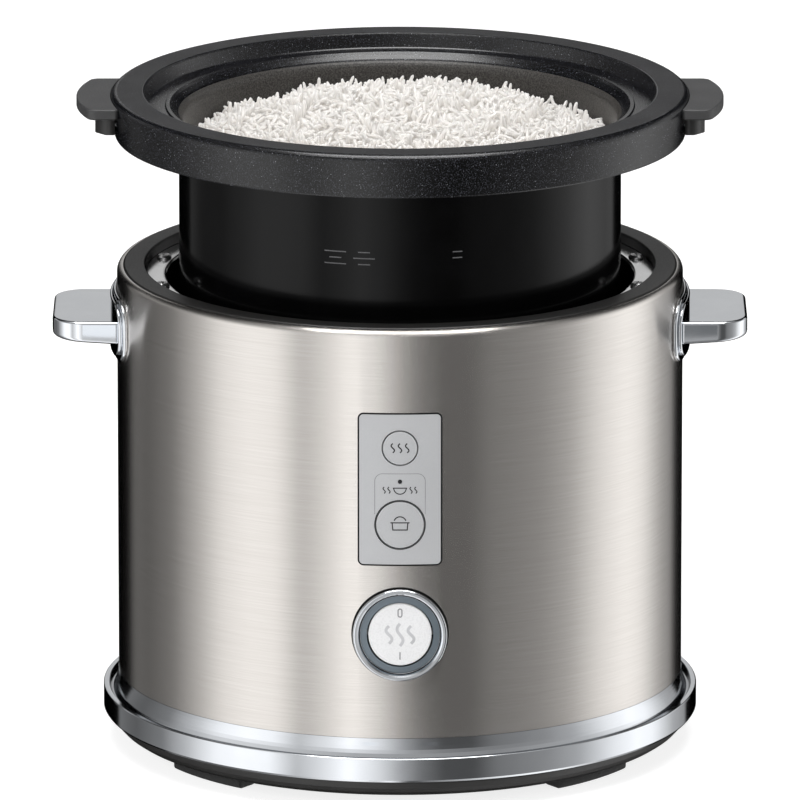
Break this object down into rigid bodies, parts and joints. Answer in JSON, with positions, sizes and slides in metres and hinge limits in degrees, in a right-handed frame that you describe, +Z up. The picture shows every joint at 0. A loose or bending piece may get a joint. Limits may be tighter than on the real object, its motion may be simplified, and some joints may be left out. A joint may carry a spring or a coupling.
{
  "type": "rice cooker",
  "caption": "Round steel rice cooker with a lift-out non-stick inner pot, side handles, push-button panel and round rocker switch.",
  "frame": {"origin": "on the table under the axis of the cooker, at the bottom of the feet", "axes": "+Z up, the front panel faces -Y, the handles lie along X"},
  "size_m": [0.294, 0.253, 0.282],
  "materials": {
    "brushed_shell": "circumferentially brushed",
    "chrome_trim": "polished",
    "well_metal": "polished",
    "black_plastic": "fine matte",
    "foot_rubber": "matte",
    "pot_coating": "speckled non-stick coating",
    "panel_silver": "fine satin silver",
    "switch_grey": "satin",
    "rocker_white": "semi-gloss",
    "cast_plate": "machined casting",
    "element_tube": "heat-darkened",
    "spacer_ceramic": "matte",
    "fastener_steel": "zinc plated",
    "fuse_body": "glazed",
    "heater_mica": "mica band",
    "board_green": "solder mask",
    "component_black": "moulded",
    "component_blue": "moulded",
    "component_yellow": "wound tape",
    "led_amber": "translucent",
    "pipe_clear": "smoked clear",
    "contact_brass": "bright",
    "terminal_cream": "moulded",
    "wire_red": "sleeved"
  },
  "bodies": {
    "cooker": {"base_pan": "black_plastic", "base_trim_ring": "chrome_trim", "foot_front_left": "foot_rubber", "foot_front_right": "foot_rubber", "foot_rear_left": "foot_rubber", "foot_rear_right": "foot_rubber", "base_screws": "fastener_steel", "outer_shell": "brushed_shell", "top_ring": "black_plastic", "well_liner": "well_metal", "liner_screws": "fastener_steel", "support_legs": "fastener_steel", "heating_plate": "cast_plate", "heating_element": "element_tube", "plate_spacers": "spacer_ceramic", "plate_screws": "fastener_steel", "thermal_fuse": "fuse_body", "fuse_clamp": "fastener_steel", "sensor_bracket": "fastener_steel", "sensor_spring": "fastener_steel", "keep_warm_heater": "heater_mica", "panel_plate": "panel_silver", "panel_frame": "black_plastic", "panel_screws": "fastener_steel", "control_board": "board_green", "tact_switches": "component_black", "indicator_led": "led_amber", "light_pipe": "pipe_clear", "switch_bezel": "chrome_trim", "switch_trim_ring": "switch_grey", "switch_body": "component_black", "switch_terminals": "contact_brass", "handle_left": "chrome_trim", "handle_right": "chrome_trim", "handle_plate_left": "chrome_trim", "handle_plate_right": "chrome_trim", "handle_backing_left": "fastener_steel", "handle_backing_right": "fastener_steel", "handle_screws": "fastener_steel", "power_inlet": "black_plastic", "inlet_pins": "contact_brass", "inlet_screws": "fastener_steel", "power_board": "board_green", "power_relay": "component_blue", "transformer": "component_yellow", "board_screws": "fastener_steel", "terminal_block": "terminal_cream", "internal_wires": "wire_red"},
    "inner_pot": {"inner_pot": "pot_coating", "pot_grip_left": "black_plastic", "pot_grip_right": "black_plastic", "grip_screws": "fastener_steel"},
    "reheat_button": {"reheat_button": "panel_silver"},
    "cook_button": {"cook_button": "panel_silver"},
    "power_rocker": {"power_rocker": "rocker_white"},
    "temperature_sensor": {"temperature_sensor": "fastener_steel"}
  },
  "joints": [
    {"name": "pot_lift", "type": "slide", "parent": "cooker", "child": "inner_pot", "axis": [0, 0, 1], "range_m": [-0.056, 0.07]},
    {"name": "reheat_press", "type": "slide", "parent": "cooker", "child": "reheat_button", "axis": [0, 1, 0], "range_m": [0, 0.001], "stiffness_N_per_m": 800, "springref_m": -0.001},
    {"name": "cook_press", "type": "slide", "parent": "cooker", "child": "cook_button", "axis": [0, 1, 0], "range_m": [0, 0.001], "stiffness_N_per_m": 800, "springref_m": -0.001},
    {"name": "power_rock", "type": "hinge", "parent": "cooker", "child": "power_rocker", "pos_m": [0, -0.115, 0.076], "axis": [1, 0, 0], "range_deg": [0, 8]},
    {"name": "sensor_plunge", "type": "slide", "parent": "cooker", "child": "temperature_sensor", "axis": [0, 0, 1], "range_m": [-0.003, 0], "stiffness_N_per_m": 400, "springref_m": 0.004, "deforming": ["sensor_spring"]}
  ]
}
